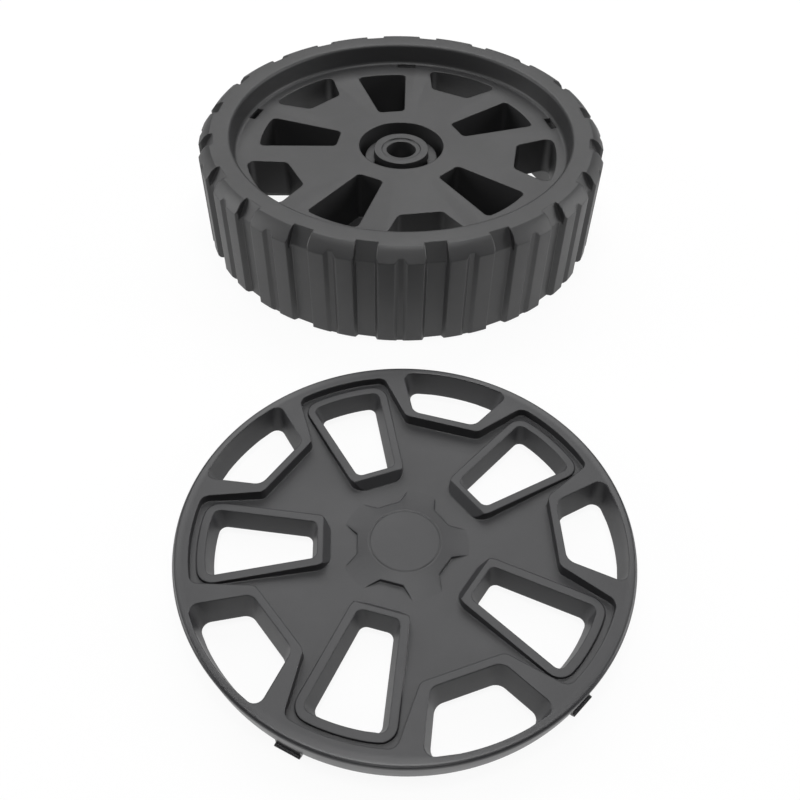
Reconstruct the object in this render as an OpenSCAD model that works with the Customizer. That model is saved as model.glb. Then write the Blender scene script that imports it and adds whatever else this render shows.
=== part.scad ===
// Plastic mower wheel with its clip-on cover.
// The wheel lies on its side with its bore upright; the cover lies in front of it on the same floor.
// Millimetres. The origin is on the bore axis, halfway up the wheel.

/* [Wheel] */
// Outer diameter over the lugs
wheel_d = 178; // [166:1:210]
// Overall width from face to face
wheel_w = 45; // [38:1:60]
// Height of the rim band, from the recess to the tread
tyre_h = 15.6; // [13:0.2:18]
// Turn of the window pattern about the bore
wheel_turn = 99.9; // [0:0.1:360]
// Number of arms in the window pattern, on wheel and cover
arms = 5; // [4:1:5]
// Wall of the moulded ribs and pockets
wall = 2.4; // [1.6:0.1:3]

/* [Tread] */
// Number of wide grooves round the tread
lugs = 20; // [10:5:30]
// Width of a wide groove at the tread surface
wide_w = 10; // [6:0.5:12]
// Depth of a wide groove
wide_h = 2.4; // [1:0.1:3]
// Width of a narrow groove at the tread surface
narrow_w = 5; // [2:0.5:6]
// Depth of a narrow groove
narrow_h = 1.2; // [0.5:0.1:2]
// Slope run of a groove's side walls
groove_run = 1.5; // [0.5:0.1:2]
// Radial run of the shoulder chamfer
shoulder_run = 5; // [2:0.5:7]
// Drop of the shoulder chamfer
shoulder_drop = 3.4; // [2:0.1:6]

/* [Recess] */
// Widening of the recess towards its mouth, on the radius
recess_draft = 0.4; // [0:0.1:1]
// Rounding of the recess mouth
mouth_r = 1.4; // [0.5:0.1:2]
// Rounding between recess wall and web
cove_r = 2.2; // [0.5:0.1:2.4]
// Thickness of the web
web_t = 2.6; // [2:0.1:4]
// Thickness of the wall below the recess
barrel_t = 3; // [2:0.1:4]
// Thickness of the wall under the tread grooves
tread_t = 3.2; // [2:0.1:4]

/* [Windows] */
// Web left between a long window and the recess wall
long_rim = 10.2; // [8:0.1:16]
// Web left between a long window and the hub well
long_land = 10.1; // [7:0.1:16]
// Half width of a long window at its outer edge
long_wide = 11.9; // [8:0.1:12.4]
// Half width of a long window at its inner edge
long_slim = 6; // [4:0.1:7]
// Web left between a fan window and the recess wall
fan_rim = 4.2; // [3.4:0.1:7]
// Height of a fan window along the radius
fan_h = 18.1; // [12:0.1:20]
// Half width of a fan window at its outer edge
fan_wide = 18.2; // [14:0.1:18.5]
// Half width of a fan window at its inner edge
fan_slim = 9.3; // [6:0.1:10]
// Corner rounding of the wheel's windows
window_r = 1.8; // [0.5:0.1:3]
// Depth of the window walls below the web's upper face
window_h = 22; // [12:0.5:26]

/* [Hub] */
// Bore for the axle
bore_d = 12.8; // [8:0.1:16]
// Diameter of the hub boss
boss_d = 24; // [22:0.5:28]
// Depth of the boss face below the web
boss_low = 1.7; // [0.5:0.1:4]
// Width of the raised ring on the boss face
ring_w = 3.5; // [2:0.1:4]
// Height of the raised ring
ring_h = 0.6; // [0.2:0.1:1.5]
// How far the two side wings stand out from the boss
wing_w = 3.9; // [2:0.1:5.5]
// Depth of the wings below the web
wing_low = 5.7; // [3:0.1:9]
// Gap between the boss and the wall of its well
well_gap = 6.5; // [6:0.1:9]
// Depth of the well below the web
well_h = 17; // [12:0.5:24]
// How far the hub's lower end stays above the lower face
hub_short = 1.5; // [0:0.5:6]

/* [Cover] */
// Height of the cover's rim, which sets the depth of the recess
cover_h = 9.3; // [9:0.1:12]
// Play between the cover's rim and the recess, on the radius
cover_play = 0.8; // [0.3:0.1:1.2]
// Play between the seated cover's top and the wheel's face
seat = 0.2; // [0:0.1:0.5]
// Turn of the cover's own pattern about its centre
cover_turn = 111.05; // [0:0.01:360]
// Thickness of the cover's field
cover_t = 2.2; // [1.5:0.1:2.6]
// Width of the rim band beside the fan windows
rim_w = 2.6; // [2:0.1:3]
// Rounding of the rim's upper edge
rim_r = 1.1; // [0.3:0.1:2]
// Inward lean of the skirt's outer face, on the radius
skirt_lean = 1.2; // [0:0.1:1.6]
// Place of the cover's centre, to the right of the bore
cover_x = 4.8; // [0:0.1:20]
// Space between the wheel and the cover that lies in front of it
cover_space = 24.5; // [10:0.5:60]

/* [Cover relief] */
// Drop from the rim to the field at its outer end
field_drop = 3.6; // [2:0.1:4]
// Fall of the field from its outer end to the centre
field_fall = 2.8; // [0:0.1:3]
// Floor of the field's channel beside a long window's lip
channel_side = 0.9; // [0.5:0.1:1.5]
// Floor of the field's channel at the lip's outer end
channel_end = 2.1; // [1:0.1:2.4]
// Band left between a fan window and the field
band_w = 2.4; // [1.6:0.1:3]
// Half width of that band's straight edge
band_half = 13.1; // [12:0.1:14]
// Rise of the lips above the field
lip_h = 2.1; // [1:0.1:3]
// Width of the lips round the long windows
lip_w = 2.7; // [2:0.1:3]
// Width of the lips at the windows' inner end
lip_end = 1.8; // [1:0.1:2.5]
// Slope run at the inner end of the lips
lip_run = 2.3; // [1:0.1:3]
// Radius at the tips of the centre plate's arms
plate_tip = 20.6; // [18:0.1:22]
// Half angle of the notches at the tips
notch_wide = 23.6; // [20:0.1:26]
// Radius at the bottom of the notches
plate_notch = 15.8; // [14:0.1:17]
// Half angle of the notches at their bottom
notch_slim = 13.6; // [10:0.1:16]
// Rise of the centre plate above its tips
plate_rise = 1.5; // [0.5:0.1:2]
// Diameter of the centre button
button_d = 22; // [17:0.5:25]
// Diameter of the button's flat top
button_top = 14.6; // [8:0.2:16]
// Rise of the button
button_rise = 0.7; // [0.3:0.1:1.2]

/* [Cover windows] */
// How far the cover's long windows stand back behind the wheel's
reveal = 0.6; // [0.2:0.1:1]
// How far the cover's fan windows stand back at their inner edge
fan_reveal = 1.1; // [0.5:0.1:1.5]
// How far the cover's fan windows stand back at their sides
fan_side = 1.8; // [0.5:0.1:2.2]
// Corner rounding of the cover's long windows
cover_window_r = 2.5; // [1:0.1:3]
// Corner rounding at the inner edge of the cover's fan windows
cover_fan_r = 4; // [1:0.1:4.5]
// Wall of the collars below the windows
collar_t = 2; // [1.2:0.1:2.2]

/* [Snap hooks] */
// Width of a hook
hook_w = 8.2; // [5:0.1:10]
// Thickness of a hook's stem
hook_t = 1.4; // [1:0.1:2]
// How far a hook's barb stands out
barb = 0.9; // [0.5:0.1:1.2]
// Height of the barb
barb_h = 1.4; // [0.8:0.1:2]
// Thickness of the web's ledge that a barb holds
ledge_t = 1.2; // [0.8:0.1:1.6]
// Play between hook and slot
play = 0.25; // [0.2:0.05:0.6]
// Angle from a long window to its hook, clockwise
hook_turn = 11; // [9:0.1:13]

/* [Hidden] */
$fn = 96;
eps = 0.02;
shell_col = [0.13, 0.135, 0.14];
cover_col = [0.15, 0.155, 0.16];
wheel_r = wheel_d / 2;
top_z = wheel_w / 2;
web_z = top_z - cover_h - seat;
recess_r = wheel_r - tyre_h;
mouth_in = recess_r + recess_draft;
floor_z = web_z - window_h;
well_z = web_z - well_h;
hub_z = -top_z + hub_short;
shoulder_z = top_z - shoulder_drop;
shoulder_r = wheel_r - shoulder_run;
groove_r = wheel_r - wide_h;
channel_r = groove_r - tread_t;
barrel_r = recess_r + barrel_t;
sector = 360 / arms;
pitch = 360 / lugs;
boss_r = boss_d / 2;
boss_z = web_z - boss_low;
well_r = boss_r + well_gap;
long_out = recess_r - long_rim;
long_in = well_r + long_land;
fan_out = recess_r - fan_rim;
fan_in = fan_out - fan_h;
cover_r = mouth_in - cover_play;
hook_gap = ledge_t + play + seat;
hook_h = hook_gap + barb_h;
hook_out = cover_r - skirt_lean;
hook_z = cover_h + hook_h;
cover_y = wheel_r + cover_r + cover_space;
cover_z = -top_z + hook_z;
cover_long_out = long_out;
cover_long_in = long_in - reveal;
cover_long_wide = long_wide + reveal;
cover_long_slim = long_slim + reveal;
cover_fan_out = cover_r - rim_w;
cover_fan_in = fan_in - fan_reveal;
cover_fan_wide = fan_wide + fan_side;
cover_fan_slim = fan_slim + fan_side;
channel_out = cover_long_out + lip_w + channel_end;
channel_wide = cover_long_wide + lip_w + channel_side;
field_r = channel_out - 2.3;
lean = field_fall / (field_r - plate_tip);
plate_z = field_drop + field_fall;
ring_z = plate_rise - plate_z;

// Points of an arc of radius r about c, from angle a to angle b
function arc(c, r, a, b, n) = [for (i = [0:n]) c + r * [cos(a + (b - a) * i / n), sin(a + (b - a) * i / n)]];

// One corner of an outline at b, between a and c, rounded with radius r in n steps
function corner(a, b, c, r, n) =
    let (u = (a - b) / norm(a - b),
         v = (c - b) / norm(c - b),
         half = acos(u * v) / 2,
         w = (u + v) / norm(u + v),
         o = b + w * r / sin(half),
         p = b + u * r / tan(half) - o,
         q = b + v * r / tan(half) - o,
         t0 = atan2(p.y, p.x),
         d = atan2(q.y, q.x) - t0,
         turn = d > 180 ? d - 360 : d < -180 ? d + 360 : d)
    arc(o, r, t0, t0 + turn, n);

// A closed outline with every corner rounded by its own radius
function rounded(pts, r, n = 5) =
    let (m = len(pts))
    [for (i = [0:m - 1])
        each r[i] > 0 ? corner(pts[(i + m - 1) % m], pts[i], pts[(i + 1) % m], r[i], n) : [pts[i]]];

// Outline of a window with its axis along +X: a straight inner edge, two straight sides and an
// outer edge on an arc, grown by g (g_in at the inner edge), corners r inside and q outside
function window(near, slim, wide, out, g, g_in, r, q) =
    let (far = sqrt(out * out - wide * wide),
         f = (wide - slim) / (far - near),
         c = slim + g * sqrt(1 + f * f) - f * near,
         ring_r = out + g,
         x1 = (sqrt(ring_r * ring_r * (1 + f * f) - c * c) - c * f) / (1 + f * f),
         y1 = c + f * x1,
         x0 = near - g_in,
         y0 = c + f * x0,
         t = atan2(y1, x1),
         ring = [for (i = [-2:2]) ring_r * [cos(t * i / 4), sin(t * i / 4)]])
    rounded(concat([[x0, y0], [x0, -y0], [x1, -y1]], ring, [[x1, y1]]),
            concat([r, r, q], [for (p = ring) 0], [q]));

module repeat(n, turn = 0) {
    for (i = [0:n - 1])
        rotate(turn + 360 * i / n)
            children();
}

// Outlines of the wheel's windows, grown by g
module long_2d(g = 0)
    polygon(window(long_in, long_slim, long_wide, long_out, g, g, window_r + g, window_r + g));

module fan_2d(g = 0)
    polygon(window(fan_in, fan_slim, fan_wide, fan_out, g, g, window_r + g, window_r + g));

// Slot in the web for a snap hook; the barb catches under the ledge at its outer edge
module hook_slot() {
    slot_in = hook_out - hook_t - barb - play;
    slot_out = hook_out + play;
    translate([slot_in, -hook_w / 2 - play, web_z - web_t - 1])
        cube([slot_out - slot_in, hook_w + 2 * play, web_t + cove_r + 1]);
    translate([slot_in, -hook_w / 2 - play, web_z - web_t - 3])
        cube([slot_out + barb - slot_in, hook_w + 2 * play, web_t - ledge_t + 3]);
}

// Groove cut along the tread, with sloped side walls
module groove(w, h) {
    out = wheel_r + 2;
    slope = groove_run / h;
    translate([0, 0, -top_z - 1])
        linear_extrude(wheel_w + 2)
            polygon([[wheel_r - h, w / 2 - groove_run], [out, w / 2 + 2 * slope],
                     [out, -w / 2 - 2 * slope], [wheel_r - h, groove_run - w / 2]]);
}

// Sunk patch where a wide groove runs out over the shoulder chamfer
module shoulder_patch(w, h) {
    fall = atan(shoulder_drop / shoulder_run);
    for (s = [0, 1])
        mirror([0, 0, s])
            translate([shoulder_r - 1.6, -w / 2 + groove_run / 2, top_z])
                rotate([0, fall, 0])
                    translate([0, 0, -h])
                        cube([shoulder_run * 2, w - groove_run, 3 * h]);
}

module tread_cuts() {
    repeat(lugs, wheel_turn) {
        groove(wide_w, wide_h);
        shoulder_patch(wide_w, wide_h * 0.45);
    }
    repeat(lugs, wheel_turn + pitch / 2)
        groove(narrow_w, narrow_h);
}

// Section of the ring that carries the tread, hollow from below
module rim_section() {
    polygon(concat(
        [[recess_r, -top_z], [barrel_r, -top_z], [barrel_r + 0.6, shoulder_z - tread_t],
         [channel_r - 0.4, shoulder_z - tread_t], [channel_r, -top_z],
         [shoulder_r, -top_z], [wheel_r, -shoulder_z], [wheel_r, shoulder_z], [shoulder_r, top_z]],
        arc([mouth_in + mouth_r, top_z - mouth_r], mouth_r, 90, 180, 6),
        arc([recess_r - cove_r, web_z + cove_r], cove_r, 0, -90, 6),
        [[recess_r - cove_r - 1, web_z - web_t], [recess_r, web_z - web_t]]));
}

// Flat web with its pockets and tubes below
module web() {
    translate([0, 0, web_z - web_t])
        cylinder(h = web_t, r = recess_r - cove_r);
    translate([0, 0, floor_z])
        linear_extrude(window_h - eps)
            repeat(arms, wheel_turn)
                intersection() {
                    union() {
                        long_2d(wall);
                        rotate(-sector / 2)
                            fan_2d(wall);
                    }
                    circle(r = recess_r + 1);
                }
    translate([0, 0, floor_z - wall])
        linear_extrude(wall + eps)
            repeat(arms, wheel_turn)
                long_2d(wall);
}

// Ribs from the hub well to the rim, one on each side of every long window
module web_ribs() {
    rib_h = window_h - 6;
    repeat(2 * arms, wheel_turn + sector / 4)
        translate([well_r + 1, -wall / 2, web_z - rib_h])
            cube([recess_r - well_r, wall, rib_h - eps]);
}

// Ribs that tie the tread wall to the recess wall, one under the middle of each wide groove
module rim_ribs() {
    repeat(lugs, wheel_turn)
        translate([barrel_r - 1, -wall / 2, -top_z + 3])
            cube([channel_r - barrel_r + 2, wall, shoulder_z + top_z - 3 - tread_t / 2]);
}

// Hub boss with the outer wall and floor of its well
module hub() {
    translate([0, 0, hub_z])
        cylinder(h = boss_z - hub_z, r = boss_r);
    translate([0, 0, well_z - wall])
        cylinder(h = well_h + wall - eps, r = well_r + wall);
    repeat(2 * arms, wheel_turn + sector / 4)
        translate([boss_r - 1, -wall / 2, hub_z + 4])
            cube([well_gap + wall, wall, well_z - hub_z - 4]);
}

// Well round the boss, clear of the boss and of its two side wings
module hub_well() {
    difference() {
        translate([0, 0, well_z])
            cylinder(h = well_h + 1, r = well_r);
        translate([0, 0, well_z - 1])
            cylinder(h = boss_z - well_z + 1, r = boss_r);
        difference() {
            translate([0, 0, well_z - 1])
                cylinder(h = web_z - wing_low - well_z + 1, r = boss_r + wing_w);
            translate([0.4 - boss_r, -2 * well_r, well_z - 2])
                cube([2 * boss_r - 0.8, 4 * well_r, well_h + 2]);
        }
    }
}

module wheel() {
    color(shell_col)
        difference() {
            union() {
                rotate_extrude($fn = 180)
                    rim_section();
                web();
                web_ribs();
                rim_ribs();
                hub();
            }
            tread_cuts();
            repeat(arms, wheel_turn) {
                translate([0, 0, floor_z])
                    linear_extrude(window_h + 1)
                        long_2d();
                rotate(-sector / 2)
                    translate([0, 0, -top_z])
                        linear_extrude(wheel_w)
                            fan_2d();
                rotate(-hook_turn)
                    hook_slot();
            }
            hub_well();
            translate([0, 0, boss_z - ring_h])
                cylinder(h = ring_h + 1, r = boss_r - ring_w);
            translate([0, 0, -top_z - 1])
                cylinder(h = wheel_w + 2, d = bore_d);
        }
    // Small moulding point left on the floor of every long pocket
    color(shell_col)
        repeat(arms, wheel_turn)
            translate([(long_in + long_out) / 2 + 8, 3, floor_z - eps])
                cylinder(h = 0.8, d = 4, $fn = 32);
}

// Outline of the sunk field: the centre with one channel round every long window
module field_2d() {
    mouth = [cover_fan_in - band_w, band_half];
    edge = sector / 2 - atan2(mouth.y, mouth.x);
    end = asin(channel_wide / channel_out);
    pts = [for (i = [0:arms - 1])
        let (t = sector * i)
        each [[norm(mouth), t - edge, 3], [channel_out, t - end, 3.2],
              for (k = [-2:2]) [channel_out, t + end * k / 3, 0],
              [channel_out, t + end, 3.2], [norm(mouth), t + edge, 3]]];
    polygon(rounded([for (p = pts) p[0] * [cos(p[1]), sin(p[1])]], [for (p = pts) p[2]]));
}

// Outlines of the cover's windows, grown by g (g_in at the inner edge of a long window)
module cover_long_2d(g = 0, g_in = 0) {
    r = cover_window_r + g;
    polygon(window(cover_long_in, cover_long_slim, cover_long_wide, cover_long_out, g, g_in, r, r));
}

module cover_fan_2d(g = 0)
    polygon(window(cover_fan_in, cover_fan_slim, cover_fan_wide, cover_fan_out,
                   g, g, cover_fan_r + g, 2.9 + g));

// Dished round solid: its upper face falls from the outer end to the centre plate
module dish(rise, low) {
    rotate_extrude($fn = 144)
        polygon([[0, -low], [cover_fan_out + 0.4, -low],
                 [cover_fan_out + 0.4, rise - field_drop + lean * (cover_fan_out + 0.4 - field_r)],
                 [plate_tip, rise - plate_z], [0, rise - plate_z]]);
}

// Rim ring with a rounded upper edge and a skirt that leans inwards
module cover_rim() {
    rotate_extrude($fn = 180)
        polygon(concat(
            [[cover_fan_out, -cover_h], [cover_r - skirt_lean, -cover_h]],
            arc([cover_r - rim_r, -rim_r], rim_r, 0, 90, 6),
            [[cover_fan_out, 0]]));
}

// Raised top of the rim and of the bands round the fan windows
module cover_band() {
    translate([0, 0, -field_drop - cover_t])
        linear_extrude(field_drop + cover_t)
            difference() {
                circle(r = cover_fan_out + 1, $fn = 180);
                field_2d();
            }
}

// Field, with its underside parallel to its upper face
module cover_field() {
    difference() {
        dish(0, cover_h);
        translate([0, 0, -cover_t])
            dish(0, cover_h + 1);
    }
}

// Lips round the long windows, sloped at the inner end
module cover_lips() {
    fall = atan(lip_h / lip_run);
    foot = cover_long_in - lip_end - lip_run;
    foot_z = lean * (foot - field_r) - field_drop;
    intersection() {
        dish(lip_h, cover_h);
        difference() {
            translate([0, 0, -cover_h])
                linear_extrude(cover_h)
                    repeat(arms)
                        cover_long_2d(lip_w, lip_end + lip_run);
            repeat(arms)
                translate([foot, -20, foot_z])
                    rotate([0, -fall, 0])
                        translate([-20, 0, 0])
                            cube([40, 40, 20]);
        }
    }
}

// Collars that carry the window walls down to the cover's lower face
module cover_collars() {
    translate([0, 0, -cover_h])
        linear_extrude(cover_h - field_drop)
            intersection() {
                repeat(arms) {
                    cover_long_2d(collar_t, collar_t);
                    rotate(-sector / 2)
                        cover_fan_2d(collar_t);
                }
                circle(r = cover_fan_out + 1, $fn = 180);
            }
}

// Centre plate with its arms towards the fan windows, and the raised button on it
module cover_plate() {
    slope = plate_rise / (plate_tip - button_d / 2);
    notch = [[plate_tip + 1, -notch_wide], [plate_notch, -notch_slim],
             [plate_notch, notch_slim], [plate_tip + 1, notch_wide]];
    intersection() {
        translate([0, 0, -plate_z - cover_t / 2])
            linear_extrude(plate_z)
                polygon([for (i = [0:arms - 1]) for (p = notch)
                    p[0] * [cos(sector * i + p[1]), sin(sector * i + p[1])]]);
        rotate_extrude()
            polygon([[0, -plate_z - cover_t], [plate_tip + 2, -plate_z - cover_t],
                     [plate_tip + 2, -plate_z - 2 * slope], [button_d / 2, ring_z], [0, ring_z]]);
    }
    translate([0, 0, ring_z - 0.3])
        rotate_extrude()
            polygon([[0, 0], [button_d / 2 - 0.4, 0], [button_d / 2 - 0.4, 0.3],
                     [button_top / 2, 0.3 + button_rise], [0, 0.3 + button_rise]]);
}

// Snap hook below the skirt, with a sloped barb
module hook() {
    translate([hook_out - hook_t, hook_w / 2, -hook_z])
        rotate([90, 0, 0])
            linear_extrude(hook_w)
                polygon([[0, 0], [hook_t - 0.2, 0], [hook_t + barb, barb_h * 0.5], [hook_t + barb, barb_h],
                         [hook_t, barb_h], [hook_t, hook_h + 2], [0, hook_h + 2]]);
}

module cover() {
    color(cover_col)
        translate([cover_x, -cover_y, cover_z])
            rotate(cover_turn)
                union() {
                    difference() {
                        union() {
                            cover_rim();
                            cover_band();
                            cover_field();
                            cover_lips();
                            cover_collars();
                            cover_plate();
                        }
                        translate([0, 0, -plate_z - cover_t - 1])
                            cylinder(h = plate_rise + 1, r = plate_notch - cover_t);
                        repeat(arms) {
                            translate([0, 0, -cover_h - 1])
                                linear_extrude(cover_h + 2)
                                    cover_long_2d();
                            rotate(-sector / 2)
                                translate([0, 0, -cover_h - 1])
                                    linear_extrude(cover_h + 2)
                                        cover_fan_2d();
                        }
                    }
                    repeat(arms, -hook_turn)
                        hook();
                }
}

wheel();
cover();
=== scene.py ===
"""Looks of a plastic mower wheel and its clip-on cover, laid out as a Blender add-on."""
import math

import bmesh
import bpy
from bpy.props import FloatProperty, FloatVectorProperty, PointerProperty
from mathutils import Matrix, Vector


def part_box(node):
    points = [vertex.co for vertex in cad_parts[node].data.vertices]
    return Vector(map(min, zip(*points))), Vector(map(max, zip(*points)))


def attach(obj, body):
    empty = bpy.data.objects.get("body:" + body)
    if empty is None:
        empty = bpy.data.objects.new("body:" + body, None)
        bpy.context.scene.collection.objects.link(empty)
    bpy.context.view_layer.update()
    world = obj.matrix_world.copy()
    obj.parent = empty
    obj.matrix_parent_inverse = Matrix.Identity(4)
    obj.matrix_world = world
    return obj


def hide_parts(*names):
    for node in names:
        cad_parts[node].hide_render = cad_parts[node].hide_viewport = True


bl_info = {
    "name": "Mower wheel with clip-on cover",
    "version": (1, 0, 0),
    "blender": (4, 5, 0),
    "location": "View3D > Sidebar > Wheel",
    "description": "Moulded plastic finishes, softened edges and a studio for the wheel and its cover",
    "category": "Object",
}

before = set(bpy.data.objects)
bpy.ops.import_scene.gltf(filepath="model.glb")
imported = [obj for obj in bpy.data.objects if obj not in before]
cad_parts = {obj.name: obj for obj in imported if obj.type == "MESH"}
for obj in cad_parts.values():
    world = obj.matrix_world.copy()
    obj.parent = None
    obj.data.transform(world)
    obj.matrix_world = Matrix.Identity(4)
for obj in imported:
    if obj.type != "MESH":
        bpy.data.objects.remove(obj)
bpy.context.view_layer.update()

# Centre of the cover on the floor, and the floor itself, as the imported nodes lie
cover_low, cover_high = (Vector(v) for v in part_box("cover"))
wheel_low, wheel_high = (Vector(v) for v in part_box("wheel"))
cover_centre = (cover_low + cover_high) / 2
floor_z = min(wheel_low.z, cover_low.z)

# All sizes of the two mouldings are in millimetres; MM takes them to metres. The bore's axis is Z,
# the wheel's middle is at height 0 and the cover's highest face is at height 0 of its own.
MM = 0.001
# A cutting shape reaches CLEAR past what it cuts; EPS keeps two joined faces from lying in one plane
CLEAR, EPS = 1, 0.02
# Steps round a turned solid and round a plain cylinder
LATHE_STEPS, DRUM_STEPS, PIP_STEPS = 240, 144, 32
# Faces that meet at a greater angle than this, in degrees, keep a sharp edge
SHARP_ANGLE = 28

# Wheel: half its width and its radius, then the two facets of its shoulder and the foot's small chamfer
TOP, WHEEL_R = 22.5, 87.5
SHOULDER_R, SHOULDER_Z = 82.4, 17.4
FACET = (84.6, 21.2)
FOOT_RUN = 0.8
# Tread: wide and narrow grooves, and the run-out of the wide ones over the shoulder
LUGS, WIDE_W, WIDE_H = 20, 10.0, 2.4
NARROW_W, NARROW_H, GROOVE_RUN = 5.0, 1.2, 1.5
PATCH_IN, PATCH_DROP = 80.8, 6.6
# Recess for the cover, the web at its floor and the hollow rim round it, with their draft
RECESS_R, MOUTH_IN, MOUTH_R, COVE_R = 73.0, 73.4, 1.4, 1.6
WEB_Z, WEB_T, WALL = 13.0, 2.6, 2.4
BARREL_R, CHANNEL_R, TREAD_T = 76.0, 81.9, 3.2
BARREL_DRAFT, CHANNEL_DRAFT = 0.6, 0.4
# Ribs end this far above the lower end of what they stand in: web, rim and hub
WEB_RIB_SHORT, RIM_RIB_SHORT, HUB_RIB_SHORT = 6, 3, 4
# Five windows of either kind: inner edge, half width there, half width outside, outer radius
ARMS, WHEEL_TURN, COVER_TURN = 5, 99.9, 111.05
LONG = (28.1, 5.9, 11.7, 62.1)
FAN = (50.2, 9.1, 17.9, 68.0)
LONG_CORNER, FAN_CORNER = 2.2, 3.0
POCKET_H, FAN_WALL_H = 22.0, 16.5
# Moulding point on a pocket's floor: radius, height and its place off the pocket's middle
PIP_R, PIP_H, PIP_OUT, PIP_SIDE = 2.0, 0.8, 8, 3
# Hub: bore, boss with its raised ring, two wings beside it and the well round it
BORE_R, BOSS_R, BOSS_Z, HUB_Z = 6.4, 12.0, 11.3, -21.0
BOSS_RING_W, BOSS_RING_H = 3.5, 0.6
WING_R, WING_LOW, WING_INSET, WELL_R, WELL_H = 15.9, 5.7, 0.4, 18.5, 17.0
# Snap hooks of the cover and the ledges in the wheel's slots that they catch under
HOOK_W, HOOK_T, BARB, BARB_H, LEDGE_T, PLAY, HOOK_TURN = 8.2, 1.4, 0.9, 1.4, 1.2, 0.25, 11.0
HOOK_OUT, HOOK_H, HOOK_TAPER, HOOK_ROOT = 71.8, 3.05, 0.2, 2

# Cover: height, radius and wall, then its rim with a leaning skirt
COVER_H, COVER_R, COVER_T = 9.3, 73.0, 2.2
SKIRT_LEAN, SKIRT_IN, SKIRT_OVERLAP, RIM_R = 1.2, 69.4, 0.6, 1.1
# Its windows, as the wheel's, with walls that lean in and collars round them
COVER_LONG = (28.0, 6.7, 12.5, 63.2)
COVER_FAN = (50.0, 11.2, 20.0, 70.4)
COVER_LONG_CORNER, COVER_FAN_CORNER, COVER_FAN_OUTER = 2.5, 4.0, 2.9
WINDOW_LEAN, COLLAR_T = 1.9, 2.0
# Lips round its long windows, with the block that slopes their inner ends
FIELD_DROP, FIELD_FALL, LIP_DROP = 3.3, 3.0, 2.4
LIP_W, LIP_END, LIP_RUN = 2.7, 1.8, 2.3
LIP_SLOPE = (-1, -11, 0, 14, 11, 5)
# Channels of the field round the lips, and the bands along the fan windows between them
CHANNEL_SIDE, CHANNEL_END, BAND_W, BAND_HALF = 0.9, 2.1, 2.4, 13.1
BAND_CORNER, CHANNEL_CORNER, CHANNEL_STEPS = 3, 3.2, 4
# Centre plate with its arms, its button and the crease at the button's foot
PLATE_TIP, PLATE_NOTCH, NOTCH_WIDE, NOTCH_SLIM, PLATE_RISE = 20.6, 15.8, 23.6, 13.6, 2.1
BUTTON_R, BUTTON_TOP, BUTTON_RISE, CREASE = 11.5, 6.7, 0.7, 0.35
BUTTON_FOOT, BUTTON_INSET = 0.3, 0.4
# The dished field: flat below the plate, then rising to the channels' outer ends
FLAT_R = PLATE_TIP + 0.5
CHANNEL_OUT = COVER_LONG[3] + LIP_W + CHANNEL_END
FIELD_R = CHANNEL_OUT - 2.3
DISH_R = COVER_FAN[3] + 0.4
FIELD_LEAN = FIELD_FALL / (FIELD_R - FLAT_R)
PLATE_Z = FIELD_DROP + FIELD_FALL
BUTTON_Z = PLATE_RISE - PLATE_Z

# Plastic: refraction, depth and strength of the grain, drift in tone
PLASTIC_IOR, GRAIN_DEPTH, GRAIN_STRENGTH, TONE_DRIFT = 1.6, 0.00006, 0.35, 0.05
# How much smoother a rounded edge is than the grained face beside it
EDGE_POLISH = -0.12
# Half the width over which the cover's rim changes to the field, and how much grain the rim loses
RIM_BLEND, RIM_SMOOTHING = 0.0006, -0.7

# Soft boxes: name, place, width and height, power; all face AIM
AIM = (0.0, -0.09, 0.0)
LAMPS = (
    ("Back soft box", (0.0, 0.80, 1.05), (1.5, 1.0), 12.0),
    ("Top soft box", (0.0, -0.20, 1.30), (0.8, 0.4), 8.0),
    ("Front soft box", (0.0, -1.00, 0.72), (0.6, 0.3), 1.7),
    ("Left soft box", (-1.1, 0.05, 0.40), (0.7, 0.6), 6.0),
    ("Right soft box", (1.1, 0.05, 0.40), (0.7, 0.6), 6.0),
)
WORLD_FILL = 0.012
FLOOR_SIZE, FLOOR_GREY, FLOOR_WHITE_SHARE = 8, 0.9, 0.92
# Camera of the photo
CAMERA_PLACE, CAMERA_TURN = (0.00246, -0.33985, 0.2249), (41.784, -0.880, 0.985)
CAMERA_LENS, CAMERA_SENSOR, CAMERA_SHIFT = 39.30, 36.0, (-0.00124, -0.00037)


def arc(centre, r, start, end, n):
    """Points of an arc about centre, from angle start to angle end in degrees."""
    turns = (math.radians(start + (end - start) * i / n) for i in range(n + 1))
    return [(centre[0] + r * math.cos(t), centre[1] + r * math.sin(t)) for t in turns]


def corner(a, b, c, r, n):
    """The corner of an outline at b, between a and c, rounded with radius r in n steps."""
    a, b, c = Vector(a), Vector(b), Vector(c)
    u, v = (a - b).normalized(), (c - b).normalized()
    half = math.acos(max(-1.0, min(1.0, u.dot(v)))) / 2
    o = b + (u + v).normalized() * r / math.sin(half)
    p, q = b + u * r / math.tan(half) - o, b + v * r / math.tan(half) - o
    start = math.degrees(math.atan2(p.y, p.x))
    sweep = (math.degrees(math.atan2(q.y, q.x)) - start + 180) % 360 - 180
    return arc(o, r, start, start + sweep, n)


def rounded(points, radii, n=6):
    """A closed outline with every corner rounded by its own radius."""
    m = len(points)
    out = []
    for i, r in enumerate(radii):
        out += corner(points[i - 1], points[i], points[(i + 1) % m], r, n) if r > 0 else [tuple(points[i])]
    return out


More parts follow.
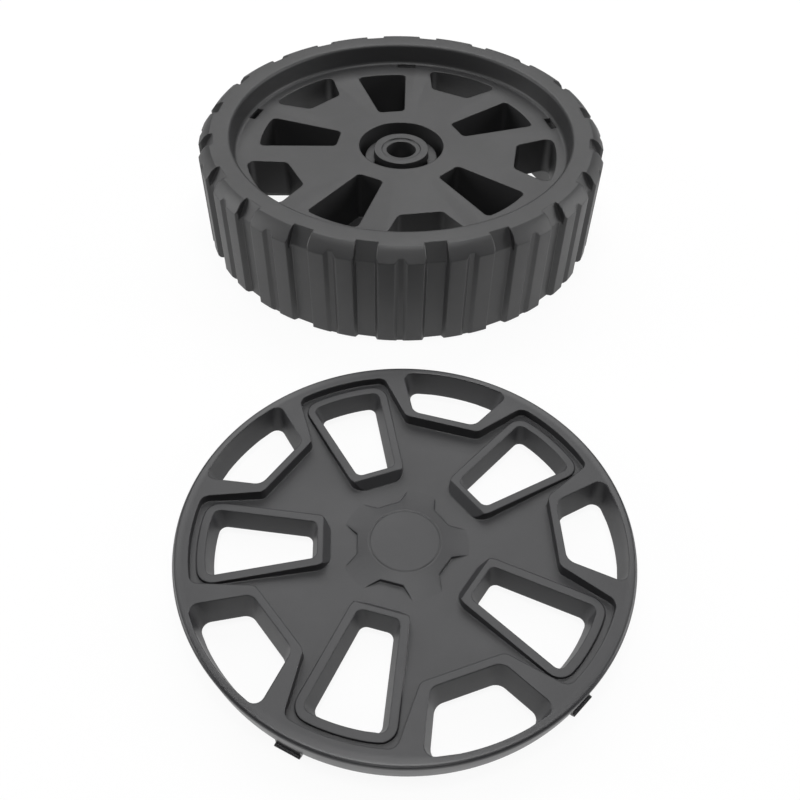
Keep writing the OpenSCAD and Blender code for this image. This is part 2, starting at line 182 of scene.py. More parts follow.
def window(size, grow, grow_in, r, q, steps=8):
    """Outline of a window along +X with a straight inner edge and an arc as outer edge, grown by grow."""
    near, slim, wide, out = size
    far = math.sqrt(out * out - wide * wide)
    f = (wide - slim) / (far - near)
    c = slim + grow * math.hypot(1, f) - f * near
    ring_r = out + grow
    x1 = (math.sqrt(ring_r * ring_r * (1 + f * f) - c * c) - c * f) / (1 + f * f)
    y1 = c + f * x1
    x0 = near - grow_in
    y0 = c + f * x0
    t = math.degrees(math.atan2(y1, x1))
    ring = arc((0, 0), ring_r, -t / 2, t / 2, steps)
    points = [(x0, y0), (x0, -y0), (x1, -y1), *ring, (x1, y1)]
    return rounded(points, [r, r, q, *(0 for _ in ring), q])


def loft(low, high, z0, z1):
    """Closed shape between two outlines of equally many points."""
    n = len(low)
    sides = [(i, (i + 1) % n, n + (i + 1) % n, n + i) for i in range(n)]
    points = [(x, y, z0) for x, y in low] + [(x, y, z1) for x, y in high]
    return points, [tuple(range(n))[::-1], tuple(range(n, 2 * n)), *sides]


def prism(outline, z0, z1):
    """Straight solid over an outline."""
    return loft(outline, outline, z0, z1)


def block(x0, y0, z0, x1, y1, z1):
    """Box between two corners."""
    return prism([(x0, y0), (x1, y0), (x1, y1), (x0, y1)], z0, z1)


def drum(r, z0, z1, steps=DRUM_STEPS):
    """Upright cylinder."""
    return prism(arc((0, 0), r, 0, 360, steps)[:-1], z0, z1)


def lathe(profile, steps=LATHE_STEPS):
    """Closed solid of revolution about Z from a closed profile of (radius, height) points."""
    points, rings = [], []
    for r, z in profile:
        count = 1 if r < EPS / 2 else steps
        rings.append([len(points) + i % count for i in range(steps)])
        for i in range(count):
            t = 2 * math.pi * i / steps
            points.append((r * math.cos(t), r * math.sin(t), z))
    faces = []
    for j, near in enumerate(rings):
        far = rings[(j + 1) % len(rings)]
        for i in range(steps):
            k = (i + 1) % steps
            face = list(dict.fromkeys((near[i], near[k], far[k], far[i])))
            if len(face) > 2:
                faces.append(tuple(face))
    return points, faces


def turned(shape, degrees, axis="Z"):
    """The shape turned about an axis through the origin."""
    spin = Matrix.Rotation(math.radians(degrees), 4, axis)
    return [tuple(spin @ Vector(p)) for p in shape[0]], shape[1]


def moved(shape, x, y, z):
    """The shape shifted."""
    return [(p[0] + x, p[1] + y, p[2] + z) for p in shape[0]], shape[1]


def joined(shapes):
    """Several shapes that don't touch each other as one."""
    points, faces = [], []
    for shape in shapes:
        start = len(points)
        points += shape[0]
        faces += [tuple(start + i for i in face) for face in shape[1]]
    return points, faces


def repeated(shape, n, start=0.0):
    """n copies of a shape round Z."""
    return joined([turned(shape, start + 360 * i / n) for i in range(n)])


def make(shape, name="form"):
    """A mesh object from a shape, with its faces turned outwards."""
    mesh = bpy.data.meshes.new(name)
    mesh.from_pydata(shape[0], [], shape[1])
    work = bmesh.new()
    work.from_mesh(mesh)
    bmesh.ops.recalc_face_normals(work, faces=work.faces)
    work.to_mesh(mesh)
    work.free()
    thing = bpy.data.objects.new(name, mesh)
    bpy.context.scene.collection.objects.link(thing)
    return thing


def combine(target, tool, operation):
    """Join a shape or object to target, or cut it out of target."""
    if not isinstance(tool, bpy.types.Object):
        tool = make(tool)
    step = target.modifiers.new("step", "BOOLEAN")
    step.operation = operation
    step.solver = "MANIFOLD"
    step.object = tool
    graph = bpy.context.evaluated_depsgraph_get()
    mesh = bpy.data.meshes.new_from_object(target.evaluated_get(graph))
    old = target.data
    target.modifiers.clear()
    target.data = mesh
    bpy.data.meshes.remove(old)
    spare = tool.data
    bpy.data.objects.remove(tool)
    bpy.data.meshes.remove(spare)
    if not mesh.polygons:
        raise RuntimeError(f"{target.name}: {operation} left nothing")
    return target


def add(target, *tools):
    """Join every tool to target."""
    for tool in tools:
        combine(target, tool, "UNION")
    return target


def cut(target, *tools):
    """Cut every tool out of target."""
    for tool in tools:
        combine(target, tool, "DIFFERENCE")
    return target


def groove(width, depth):
    """A tread groove with sloped side walls, along the whole width."""
    out = WHEEL_R + 2 * CLEAR
    slope = GROOVE_RUN / depth
    return prism([(WHEEL_R - depth, width / 2 - GROOVE_RUN), (out, width / 2 + 2 * slope),
                  (out, -width / 2 - 2 * slope), (WHEEL_R - depth, GROOVE_RUN - width / 2)][::-1],
                 -TOP - CLEAR, TOP + CLEAR)


def patch():
    """The sloped run-out of a wide groove over the upper shoulder."""
    fall = math.degrees(math.atan2(PATCH_DROP, WHEEL_R - WIDE_H - PATCH_IN))
    half = (WIDE_W - GROOVE_RUN) / 2
    plane = block(-2 * CLEAR, -half, 0, 2 * (PATCH_DROP + CLEAR), half, PATCH_DROP)
    return moved(turned(plane, fall, "Y"), PATCH_IN, 0, TOP)


def wheel_section():
    """Half section of the wheel's body: hollow rim, recess and web."""
    return [(RECESS_R, -TOP), (BARREL_R, -TOP), (BARREL_R + BARREL_DRAFT, SHOULDER_Z - TREAD_T),
            (CHANNEL_R - CHANNEL_DRAFT, SHOULDER_Z - TREAD_T), (CHANNEL_R, -TOP),
            (WHEEL_R - FOOT_RUN, -TOP), (WHEEL_R, FOOT_RUN - TOP), (WHEEL_R, SHOULDER_Z),
            FACET, (SHOULDER_R, TOP),
            *arc((MOUTH_IN + MOUTH_R, TOP - MOUTH_R), MOUTH_R, 90, 180, 6),
            *arc((RECESS_R - COVE_R, WEB_Z + COVE_R), COVE_R, 0, -90, 6),
            (0, WEB_Z), (0, WEB_Z - WEB_T), (RECESS_R, WEB_Z - WEB_T)]


def wheel_windows(grow, z_long, z_fan, top):
    """The five pockets and five through windows grown by grow, from their own low ends up to top."""
    pocket = window(LONG, grow, grow, LONG_CORNER + grow, LONG_CORNER + grow)
    fan = window(FAN, grow, grow, FAN_CORNER + grow, FAN_CORNER + grow)
    # The two walls that join the web end at heights of their own, so that no two faces share a plane
    return (repeated(prism(pocket, z_long, top), ARMS, WHEEL_TURN),
            repeated(prism(fan, z_fan, top - (EPS if grow else 0)), ARMS, WHEEL_TURN - 180 / ARMS))


def spokes(r0, z0, r1, z1, n, start):
    """n upright ribs round Z, one wall thick, from r0 to r1."""
    return repeated(block(r0, -WALL / 2, z0, r1, WALL / 2, z1), n, start)


def clip_slots():
    """The five slots for the cover's hooks, and the room under their ledges."""
    slot_in, slot_out = HOOK_OUT - HOOK_T - BARB - PLAY, HOOK_OUT + PLAY
    side = HOOK_W / 2 + PLAY
    low = WEB_Z - WEB_T
    slot = block(slot_in, -side, low - CLEAR, slot_out, side, WEB_Z + COVE_R)
    under = block(slot_in - EPS, -side - EPS, low - 3 * CLEAR, slot_out + BARB, side + EPS, WEB_Z - LEDGE_T)
    return (repeated(slot, ARMS, WHEEL_TURN - HOOK_TURN), repeated(under, ARMS, WHEEL_TURN - HOOK_TURN))


def wheel_form():
    """The whole wheel as one closed solid, in millimetres."""
    between = WHEEL_TURN + 90 / ARMS
    floor, well_z = WEB_Z - POCKET_H, WEB_Z - WELL_H
    wheel = make(lathe(wheel_section()), "wheel_form")
    add(wheel,
        *wheel_windows(WALL, floor - WALL, WEB_Z - FAN_WALL_H, WEB_Z - EPS),
        drum(WELL_R + WALL, well_z - WALL, WEB_Z - 3 * EPS),
        spokes(WELL_R + CLEAR, floor + WEB_RIB_SHORT, RECESS_R + CLEAR, WEB_Z - 4 * EPS, 2 * ARMS, between),
        spokes(BARREL_R - CLEAR, RIM_RIB_SHORT - TOP, CHANNEL_R + CLEAR, SHOULDER_Z - TREAD_T / 2,
               LUGS, WHEEL_TURN))
    cut(wheel,
        repeated(groove(WIDE_W, WIDE_H), LUGS, WHEEL_TURN), repeated(patch(), LUGS, WHEEL_TURN),
        repeated(groove(NARROW_W, NARROW_H), LUGS, WHEEL_TURN + 180 / LUGS),
        *wheel_windows(0, floor, -TOP, TOP), *clip_slots(), drum(WELL_R, well_z, WEB_Z + CLEAR))
    wings = make(drum(WING_R, well_z - CLEAR, WEB_Z - WING_LOW))
    cut(wings, block(WING_INSET - BOSS_R, -2 * WELL_R, well_z - 2 * CLEAR,
                     BOSS_R - WING_INSET, 2 * WELL_R, TOP))
    add(wheel, drum(BOSS_R, HUB_Z, BOSS_Z), wings,
        spokes(BOSS_R - CLEAR, HUB_Z + HUB_RIB_SHORT, WELL_R + CLEAR, well_z - EPS, 2 * ARMS, between))
    cut(wheel, drum(BOSS_R - BOSS_RING_W, BOSS_Z - BOSS_RING_H, TOP),
        drum(BORE_R, -TOP - CLEAR, TOP + CLEAR))
    pip = moved(drum(PIP_R, -EPS, PIP_H, PIP_STEPS), (LONG[0] + LONG[3]) / 2 + PIP_OUT, PIP_SIDE, floor)
    return add(wheel, repeated(pip, ARMS, WHEEL_TURN))


def lean_in(z, full):
    """How far a cover window's wall leans in at height z, from its full width at height full."""
    return WINDOW_LEAN * (full - z) / (COVER_H + full)


def long_solid(grow, z0, z1):
    """Solid inside a long window of the cover between two heights."""
    low, high = (grow - lean_in(z, -LIP_DROP) for z in (z0, z1))
    r = COVER_LONG_CORNER + grow
    return loft(window(COVER_LONG, low, low, r, r), window(COVER_LONG, high, high, r, r), z0, z1)


def fan_solid(grow, z0, z1):
    """Solid inside a fan window of the cover between two heights."""
    low, high = (grow - lean_in(z, 0) for z in (z0, z1))
    r, q = COVER_FAN_CORNER + grow, COVER_FAN_OUTER + grow
    return loft(window(COVER_FAN, low, low, r, q), window(COVER_FAN, high, high, r, q), z0, z1)


def field_outline():
    """The sunk field: the centre with one channel round every long window."""
    sector = 360 / ARMS
    mouth = (COVER_FAN[0] - BAND_W, BAND_HALF)
    edge = sector / 2 - math.degrees(math.atan2(mouth[1], mouth[0]))
    end = math.degrees(math.asin((COVER_LONG[2] + LIP_W + CHANNEL_SIDE) / CHANNEL_OUT))
    points, radii = [], []
    for i in range(ARMS):
        t = sector * i
        arm = [(math.hypot(*mouth), t - edge, BAND_CORNER), (CHANNEL_OUT, t - end, CHANNEL_CORNER),
               *((CHANNEL_OUT, t + end * k / (CHANNEL_STEPS + 2), 0)
                 for k in range(-CHANNEL_STEPS, CHANNEL_STEPS + 1)),
               (CHANNEL_OUT, t + end, CHANNEL_CORNER), (math.hypot(*mouth), t + edge, BAND_CORNER)]
        for r, angle, corner_r in arm:
            points.append((r * math.cos(math.radians(angle)), r * math.sin(math.radians(angle))))
            radii.append(corner_r)
    return rounded(points, radii)


def dish(rise, low):
    """Dished round solid whose upper face falls from the outer end to the centre plate."""
    return lathe([(0, -low), (DISH_R, -low), (DISH_R, rise - FIELD_DROP + FIELD_LEAN * (DISH_R - FIELD_R)),
                  (FLAT_R, rise - PLATE_Z), (0, rise - PLATE_Z)])


def lips():
    """Lips round the long windows, flat on top and sloped at the inner end."""
    foot = COVER_LONG[0] - LIP_END - LIP_RUN
    foot_z = FIELD_LEAN * (foot - FIELD_R) - FIELD_DROP
    fall = math.degrees(math.atan2(-LIP_DROP - foot_z, LIP_RUN))
    r = COVER_LONG_CORNER + LIP_W
    outline = window(COVER_LONG, LIP_W, LIP_END + LIP_RUN, r, r)
    ring = make(repeated(prism(outline, -COVER_H, -LIP_DROP), ARMS))
    slope = moved(turned(block(*LIP_SLOPE), -fall, "Y"), foot, 0, foot_z)
    return cut(ring, repeated(slope, ARMS), dish(-COVER_T / 2, COVER_H + CLEAR))


def plate():
    """Centre plate with its arms towards the fan windows, and the raised button on it."""
    tips = ((PLATE_TIP + CLEAR, -NOTCH_WIDE), (PLATE_NOTCH, -NOTCH_SLIM),
            (PLATE_NOTCH, NOTCH_SLIM), (PLATE_TIP + CLEAR, NOTCH_WIDE))
    spots = [(r, math.radians(360 / ARMS * i + t)) for i in range(ARMS) for r, t in tips]
    outline = [(r * math.cos(t), r * math.sin(t)) for r, t in spots]
    slope = PLATE_RISE / (PLATE_TIP - BUTTON_R)
    form = make(prism(outline, -PLATE_Z - COVER_T / 2, 0))
    out = PLATE_TIP + 2 * CLEAR
    combine(form, lathe([(0, -PLATE_Z - COVER_T), (out, -PLATE_Z - COVER_T), (out, -PLATE_Z - 2 * slope),
                         (BUTTON_R, BUTTON_Z), (0, BUTTON_Z)]), "INTERSECT")
    foot_r, foot_z = BUTTON_R - BUTTON_INSET, BUTTON_Z - BUTTON_FOOT
    return add(form, lathe([(0, foot_z), (foot_r, foot_z), (foot_r, BUTTON_Z),
                            (BUTTON_TOP, BUTTON_Z + BUTTON_RISE), (0, BUTTON_Z + BUTTON_RISE)]))


def hook():
    """Snap hook below the skirt, with a sloped barb."""
    profile = [(0, 0), (HOOK_T - HOOK_TAPER, 0), (HOOK_T + BARB, BARB_H / 2), (HOOK_T + BARB, BARB_H),
               (HOOK_T, BARB_H), (HOOK_T, HOOK_H + HOOK_ROOT), (0, HOOK_H + HOOK_ROOT)]
    upright = turned(prism(profile, -HOOK_W / 2, HOOK_W / 2), 90, "X")
    return moved(upright, HOOK_OUT - HOOK_T, 0, -COVER_H - HOOK_H)


def cover_form():
    """The whole cover as one closed solid about its own axis, with its top at 0, in millimetres."""
    half = 180 / ARMS
    band = cut(make(drum(COVER_FAN[3] + CLEAR, -FIELD_DROP - COVER_T, 0, LATHE_STEPS)),
               prism(field_outline(), -COVER_H, CLEAR))
    field = cut(make(dish(0, COVER_H)), moved(dish(0, COVER_H + CLEAR), 0, 0, -COVER_T))
    collars = make(repeated(fan_solid(COLLAR_T, -COVER_H, -FIELD_DROP), ARMS, half))
    combine(collars, drum(SKIRT_IN + SKIRT_OVERLAP, -COVER_H - CLEAR, 0, LATHE_STEPS), "INTERSECT")
    cover = make(lathe([(SKIRT_IN, -COVER_H), (COVER_R - SKIRT_LEAN, -COVER_H),
                        *arc((COVER_R - RIM_R, -RIM_R), RIM_R, 0, 90, 8), (SKIRT_IN, 0)]), "cover_form")
    add(cover, band, field, lips(), collars,
        repeated(long_solid(COLLAR_T, -COVER_H, -FIELD_DROP), ARMS), plate())
    cut(cover, drum(PLATE_NOTCH - COVER_T, -PLATE_Z - COVER_T - CLEAR, PLATE_RISE - PLATE_Z - COVER_T),
        lathe([(BUTTON_R, BUTTON_Z - CREASE), (BUTTON_R + 2 * CREASE, BUTTON_Z + CREASE),
               (BUTTON_R - 2 * CREASE, BUTTON_Z + CREASE)]),
        repeated(long_solid(0, -COVER_H - CLEAR, CLEAR), ARMS),
        repeated(fan_solid(0, -COVER_H - CLEAR, CLEAR), ARMS, half))
    return add(cover, repeated(hook(), ARMS, -HOOK_TURN))


def settle(form, name, node, place, turn):
    """Take a form from millimetres to its place in the frame, as the piece that stands for node."""
    form.data.transform(Matrix.Translation(place) @ Matrix.Rotation(math.radians(turn), 4, "Z")
                        @ Matrix.Scale(MM, 4))
    form.name = form.data.name = name
    form.data.materials.clear()
    form.data.polygons.foreach_set("material_index", [0] * len(form.data.polygons))
    form.data.shade_smooth()
    form.data.set_sharp_from_angle(angle=math.radians(SHARP_ANGLE))
    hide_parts(node)
    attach(form, "root")
    return form


class WheelLooks(bpy.types.PropertyGroup):
    """Sizes and colours of the finish"""

    wheel_colour: FloatVectorProperty(
        name="Wheel colour", description="Colour of the wheel's plastic", subtype="COLOR",
        default=(0.024, 0.024, 0.025), min=0.0, max=1.0)
    cover_colour: FloatVectorProperty(
        name="Cover colour", description="Colour of the cover's plastic", subtype="COLOR",
        default=(0.023, 0.023, 0.025), min=0.0, max=1.0)
    edge_radius: FloatProperty(
        name="Edge radius", description="Rounding of the moulded edges",
        default=0.0007, min=0.0001, max=0.001, unit="LENGTH", precision=5)
    rim_width: FloatProperty(
        name="Rim width", description="Width of the cover's smoother rim",
        default=0.0028, min=0.0, max=0.01, unit="LENGTH", precision=5)
    grain_size: FloatProperty(
        name="Grain size", description="Spacing of the mould's fine grain",
        default=0.00045, min=0.0001, max=0.003, unit="LENGTH", precision=5)
    wheel_roughness: FloatProperty(
        name="Wheel roughness", description="Mean roughness of the wheel's plastic",
        default=0.5, min=0.0, max=1.0, subtype="FACTOR")
    cover_roughness: FloatProperty(
        name="Cover roughness", description="Mean roughness of the cover's grained field",
        default=0.52, min=0.0, max=1.0, subtype="FACTOR")
    rim_roughness: FloatProperty(
        name="Cover rim roughness", description="Roughness of the smoother rim of the cover",
        default=0.36, min=0.0, max=1.0, subtype="FACTOR")


def new_group(name, inputs, outputs):
    """A shader node group with named sockets, and its input and output nodes."""
    group = bpy.data.node_groups.new(name, "ShaderNodeTree")
    for label, kind, value in inputs:
        socket = group.interface.new_socket(name=label, in_out="INPUT", socket_type=kind)
        socket.default_value = value
    for label, kind in outputs:
        group.interface.new_socket(name=label, in_out="OUTPUT", socket_type=kind)
    return group, group.nodes.new("NodeGroupInput"), group.nodes.new("NodeGroupOutput")


def add_node(tree, kind, links=(), **values):
    """A node in tree with its properties set, and (input, source socket) pairs linked."""
    node = tree.nodes.new(kind)
    for key, value in values.items():
        setattr(node, key, value)
    for key, source in links:
        tree.links.new(source, node.inputs[key])
    return node


def maths(tree, operation, a, b=None, c=None, clamp=False):
    """A Math node whose inputs are sockets or numbers."""
    node = add_node(tree, "ShaderNodeMath", operation=operation, use_clamp=clamp)
    for key, value in enumerate((a, b, c)):
        if value is None:
            continue
        if isinstance(value, (int, float)):
            node.inputs[key].default_value = value
        else:
            tree.links.new(value, node.inputs[key])
    return node.outputs[0]


def grain_group():
    """Fine grain that a spark-eroded mould leaves on plastic, as a height and a mask."""
    if "Mould grain" in bpy.data.node_groups:
        return bpy.data.node_groups["Mould grain"]
    tree, given, result = new_group(
        "Mould grain",
        [("Vector", "NodeSocketVector", (0, 0, 0)), ("Scale", "NodeSocketFloat", 1000.0)],
        [("Height", "NodeSocketFloat"), ("Mask", "NodeSocketFloat")])
    fine = add_node(tree, "ShaderNodeTexNoise", [("Vector", given.outputs["Vector"]),
                                                 ("Scale", given.outputs["Scale"])])
    fine.inputs["Detail"].default_value = 3.0
    fine.inputs["Roughness"].default_value = 0.65
    coarse = add_node(tree, "ShaderNodeTexVoronoi", [("Vector", given.outputs["Vector"])])
    tree.links.new(maths(tree, "MULTIPLY", given.outputs["Scale"], 0.6), coarse.inputs["Scale"])
    coarse.feature = "SMOOTH_F1"
    height = maths(tree, "MULTIPLY_ADD", coarse.outputs["Distance"], 0.45, fine.outputs["Fac"])
    tree.links.new(height, result.inputs["Height"])
    tree.links.new(fine.outputs["Fac"], result.inputs["Mask"])
    return tree


def tone_group():
    """Slow drift in tone and gloss of a large moulding: flow marks, handling and dust."""
    if "Moulding tone" in bpy.data.node_groups:
        return bpy.data.node_groups["Moulding tone"]
    tree, given, result = new_group(
        "Moulding tone",
        [("Vector", "NodeSocketVector", (0, 0, 0)), ("Colour", "NodeSocketColor", (0.08, 0.08, 0.08, 1)),
         ("Roughness", "NodeSocketFloat", 0.5), ("Drift", "NodeSocketFloat", 0.06),
         ("Grain", "NodeSocketFloat", 0.5)],
        [("Colour", "NodeSocketColor"), ("Roughness", "NodeSocketFloat")])
    cloud = add_node(tree, "ShaderNodeTexNoise", [("Vector", given.outputs["Vector"])])
    cloud.inputs["Scale"].default_value = 38.0
    cloud.inputs["Detail"].default_value = 4.0
    scuff = add_node(tree, "ShaderNodeTexNoise", [("Vector", given.outputs["Vector"])])
    scuff.inputs["Scale"].default_value = 260.0
    scuff.inputs["Detail"].default_value = 6.0
    scuff.inputs["Roughness"].default_value = 0.7
    drift = maths(tree, "SUBTRACT", cloud.outputs["Fac"], 0.5)
    speck = maths(tree, "SUBTRACT", scuff.outputs["Fac"], 0.5)
    both = maths(tree, "MULTIPLY_ADD", speck, 0.5, drift)
    swing = maths(tree, "MULTIPLY", both, given.outputs["Drift"])
    grain = maths(tree, "MULTIPLY_ADD", maths(tree, "SUBTRACT", given.outputs["Grain"], 0.5), 0.12,
                  maths(tree, "MULTIPLY_ADD", swing, 4.0, 1.0))
    tint = add_node(tree, "ShaderNodeVectorMath", [(0, given.outputs["Colour"]), (1, grain)],
                    operation="MULTIPLY")
    tree.links.new(tint.outputs[0], result.inputs["Colour"])
    rough = maths(tree, "MULTIPLY_ADD", both, maths(tree, "MULTIPLY", given.outputs["Drift"], -3.0),
                  given.outputs["Roughness"], clamp=True)
    tree.links.new(rough, result.inputs["Roughness"])
    return tree


def edge_group():
    """Softly rounded edges for a moulding: the normal near an edge, and a mask of the edge itself."""
    if "Moulded edge" in bpy.data.node_groups:
        return bpy.data.node_groups["Moulded edge"]
    tree, given, result = new_group(
        "Moulded edge",
        [], [("Normal", "NodeSocketVector"), ("Mask", "NodeSocketFloat")])
    soft = add_node(tree, "ShaderNodeBevel", samples=8)
    soft.inputs["Radius"].default_value = bpy.context.scene.wheel_looks.edge_radius
    face = add_node(tree, "ShaderNodeNewGeometry")
    lean = add_node(tree, "ShaderNodeVectorMath", [(0, soft.outputs["Normal"]), (1, face.outputs["Normal"])],
                    operation="DOT_PRODUCT")
    mask = add_node(tree, "ShaderNodeMapRange", [("Value", lean.outputs["Value"])])
    mask.inputs["From Min"].default_value = 0.99
    mask.inputs["From Max"].default_value = 0.85
    tree.links.new(soft.outputs["Normal"], result.inputs["Normal"])
    tree.links.new(mask.outputs["Result"], result.inputs["Mask"])
    return tree


def moulded_plastic(name, colour, roughness, grain_size, centre=None, rim=None):
    """Grained charcoal plastic; rim = (radius, roughness) makes the band outside radius smoother."""
    material = bpy.data.materials.new(name)
    material.use_nodes = True
    tree = material.node_tree
    tree.nodes.clear()
    place = add_node(tree, "ShaderNodeTexCoord").outputs["Object"]
    grain = add_node(tree, "ShaderNodeGroup", node_tree=grain_group())
    tree.links.new(place, grain.inputs["Vector"])
    grain.inputs["Scale"].default_value = 1.0 / grain_size
    tone = add_node(tree, "ShaderNodeGroup", node_tree=tone_group())
    tree.links.new(place, tone.inputs["Vector"])
    tree.links.new(grain.outputs["Mask"], tone.inputs["Grain"])
    tone.inputs["Colour"].default_value = (*colour, 1.0)
    tone.inputs["Roughness"].default_value = roughness
    tone.inputs["Drift"].default_value = TONE_DRIFT
    shader = add_node(tree, "ShaderNodeBsdfPrincipled")
    out = add_node(tree, "ShaderNodeOutputMaterial")
    tree.links.new(shader.outputs["BSDF"], out.inputs["Surface"])
    shader.inputs["IOR"].default_value = PLASTIC_IOR
    rough = tone.outputs["Roughness"]
    height = grain.outputs["Height"]
    if rim:
        shift = add_node(tree, "ShaderNodeMapping", [("Vector", place)])
        shift.inputs["Location"].default_value = (-centre.x, -centre.y, 0.0)
        shift.inputs["Scale"].default_value = (1.0, 1.0, 0.0)
        reach = add_node(tree, "ShaderNodeVectorMath", [(0, shift.outputs["Vector"])], operation="LENGTH")
        band = add_node(tree, "ShaderNodeMapRange", [("Value", reach.outputs["Value"])])
        band.inputs["From Min"].default_value = rim[0] - RIM_BLEND
        band.inputs["From Max"].default_value = rim[0] + RIM_BLEND
        mask = band.outputs["Result"]
        change = maths(tree, "MULTIPLY", mask, rim[1] - roughness)
        rough = maths(tree, "ADD", rough, change, clamp=True)
        height = maths(tree, "MULTIPLY", height, maths(tree, "MULTIPLY_ADD", mask, RIM_SMOOTHING, 1.0))
    edge = add_node(tree, "ShaderNodeGroup", node_tree=edge_group())
    rough = maths(tree, "MULTIPLY_ADD", edge.outputs["Mask"], EDGE_POLISH, rough, clamp=True)
    tree.links.new(tone.outputs["Colour"], shader.inputs["Base Color"])
    tree.links.new(rough, shader.inputs["Roughness"])
    bump = add_node(tree, "ShaderNodeBump", [("Height", height), ("Normal", edge.outputs["Normal"])])
    bump.inputs["Strength"].default_value = GRAIN_STRENGTH
    bump.inputs["Distance"].default_value = GRAIN_DEPTH
    tree.links.new(bump.outputs["Normal"], shader.inputs["Normal"])
    return material


class WHEEL_OT_finish_wheel(bpy.types.Operator):
    """Form the wheel with its grooved tread and windowed web, and give it its grained plastic"""

    bl_idname = "wheel.finish_wheel"
    bl_label = "Finish the wheel"

    def execute(self, context):
        looks = context.scene.wheel_looks
        piece = settle(wheel_form(), "wheel_moulding", "wheel", (0, 0, 0), 0)
        piece.data.materials.append(moulded_plastic("Wheel plastic", looks.wheel_colour,
                                                    looks.wheel_roughness, looks.grain_size))
        return {"FINISHED"}


class WHEEL_OT_finish_cover(bpy.types.Operator):
    """Form the cover with its lips, bands and hooks, and give it its grained field and smoother rim"""

    bl_idname = "wheel.finish_cover"
    bl_label = "Finish the cover"

    def execute(self, context):
        looks = context.scene.wheel_looks
        place = (cover_centre.x, cover_centre.y, cover_high.z)
        piece = settle(cover_form(), "cover_moulding", "cover", place, COVER_TURN)
        rim = (COVER_R * MM - looks.rim_width, looks.rim_roughness)
        piece.data.materials.append(moulded_plastic("Cover plastic", looks.cover_colour,
                                                    looks.cover_roughness, looks.grain_size,
                                                    cover_centre, rim))
        return {"FINISHED"}


def area_light(name, place, size, power):
    """A white soft box at place that faces AIM."""
    lamp = bpy.data.lights.new(name, "AREA")
    lamp.shape = "RECTANGLE"
    lamp.size, lamp.size_y = size
    lamp.energy = power
    holder = bpy.data.objects.new(name, lamp)
    holder.location = place
    holder.rotation_euler = (Vector(AIM) - Vector(place)).to_track_quat("-Z", "Y").to_euler()
    bpy.context.collection.objects.link(holder)


def pale_floor_material():
    """Pale matt floor that reads white to the camera and keeps a trace of the shadow."""
    material = bpy.data.materials.new("Studio floor")
    material.use_nodes = True
    tree = material.node_tree
    tree.nodes.clear()
    matt = add_node(tree, "ShaderNodeBsdfDiffuse")
    matt.inputs["Color"].default_value = (FLOOR_GREY, FLOOR_GREY, FLOOR_GREY, 1)
    glow = add_node(tree, "ShaderNodeEmission")
    glow.inputs["Color"].default_value = (1, 1, 1, 1)
    glow.inputs["Strength"].default_value = 1.0
    path = add_node(tree, "ShaderNodeLightPath")
    seen = maths(tree, "MAXIMUM", path.outputs["Is Camera Ray"], path.outputs["Is Glossy Ray"])
    share = maths(tree, "MULTIPLY", seen, FLOOR_WHITE_SHARE)
    mix = add_node(tree, "ShaderNodeMixShader", [(0, share), (1, matt.outputs[0]), (2, glow.outputs[0])])
    out = add_node(tree, "ShaderNodeOutputMaterial")
    tree.links.new(mix.outputs[0], out.inputs["Surface"])
    return material


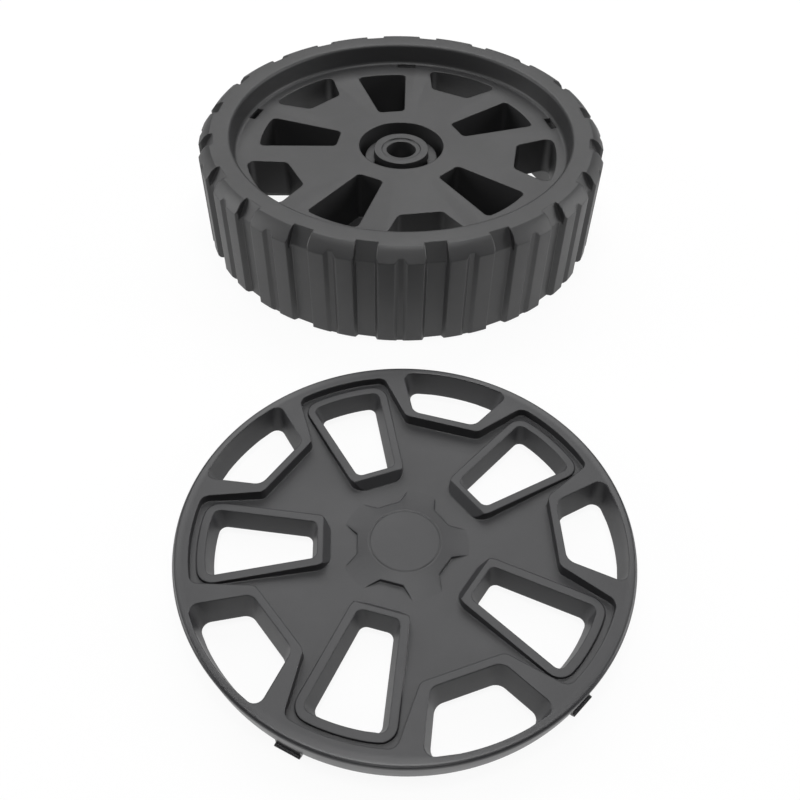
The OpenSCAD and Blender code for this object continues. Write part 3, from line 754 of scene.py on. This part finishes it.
class WHEEL_OT_set_stage(bpy.types.Operator):
    """Lay the pale floor, hang the soft boxes and set the camera"""

    bl_idname = "wheel.set_stage"
    bl_label = "Set the stage"

    def execute(self, context):
        scene = context.scene
        scene.view_settings.view_transform = "Standard"
        bpy.ops.object.select_all(action="DESELECT")
        bpy.ops.mesh.primitive_plane_add(size=FLOOR_SIZE, location=(0, 0, 0))
        floor = context.active_object
        floor.name = "studio_floor"
        bpy.ops.object.mode_set(mode="EDIT")
        bpy.ops.transform.translate(value=(0, 0, floor_z))
        bpy.ops.object.mode_set(mode="OBJECT")
        floor.data.materials.append(pale_floor_material())
        for lamp in LAMPS:
            area_light(*lamp)
        world = bpy.data.worlds.new("Studio")
        world.use_nodes = True
        tree = world.node_tree
        tree.nodes.clear()
        dim = add_node(tree, "ShaderNodeBackground")
        dim.inputs["Color"].default_value = (1, 1, 1, 1)
        dim.inputs["Strength"].default_value = WORLD_FILL
        bright = add_node(tree, "ShaderNodeBackground")
        bright.inputs["Color"].default_value = (1, 1, 1, 1)
        bright.inputs["Strength"].default_value = 1.0
        path = add_node(tree, "ShaderNodeLightPath")
        mix = add_node(tree, "ShaderNodeMixShader", [(0, path.outputs["Is Camera Ray"]),
                                                     (1, dim.outputs[0]), (2, bright.outputs[0])])
        out = add_node(tree, "ShaderNodeOutputWorld")
        tree.links.new(mix.outputs[0], out.inputs["Surface"])
        scene.world = world
        camera = bpy.data.cameras.new("Photo angle")
        camera.lens, camera.sensor_width = CAMERA_LENS, CAMERA_SENSOR
        camera.shift_x, camera.shift_y = CAMERA_SHIFT
        holder = bpy.data.objects.new("Photo angle", camera)
        holder.location = CAMERA_PLACE
        holder.rotation_euler = [math.radians(v) for v in CAMERA_TURN]
        context.collection.objects.link(holder)
        scene.camera = holder
        return {"FINISHED"}


class WHEEL_PT_looks(bpy.types.Panel):
    """Finish of the wheel and its cover"""

    bl_idname = "WHEEL_PT_looks"
    bl_label = "Wheel"
    bl_space_type = "VIEW_3D"
    bl_region_type = "UI"
    bl_category = "Wheel"

    def draw(self, context):
        looks = context.scene.wheel_looks
        for name in looks.bl_rna.properties.keys():
            if name not in ("rna_type", "name"):
                self.layout.prop(looks, name)
        for kind in OPERATORS:
            self.layout.operator(kind.bl_idname)


OPERATORS = (WHEEL_OT_finish_wheel, WHEEL_OT_finish_cover, WHEEL_OT_set_stage)
CLASSES = (WheelLooks, *OPERATORS, WHEEL_PT_looks)


def register():
    """Register the classes and hang the settings on the scene."""
    for kind in CLASSES:
        bpy.utils.register_class(kind)
    bpy.types.Scene.wheel_looks = PointerProperty(type=WheelLooks)


def unregister():
    """Take the settings and the classes off again."""
    del bpy.types.Scene.wheel_looks
    for kind in reversed(CLASSES):
        bpy.utils.unregister_class(kind)


def main():
    """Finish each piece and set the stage."""
    register()
    bpy.ops.wheel.finish_wheel()
    bpy.ops.wheel.finish_cover()
    bpy.ops.wheel.set_stage()


if __name__ == "__main__":
    main()
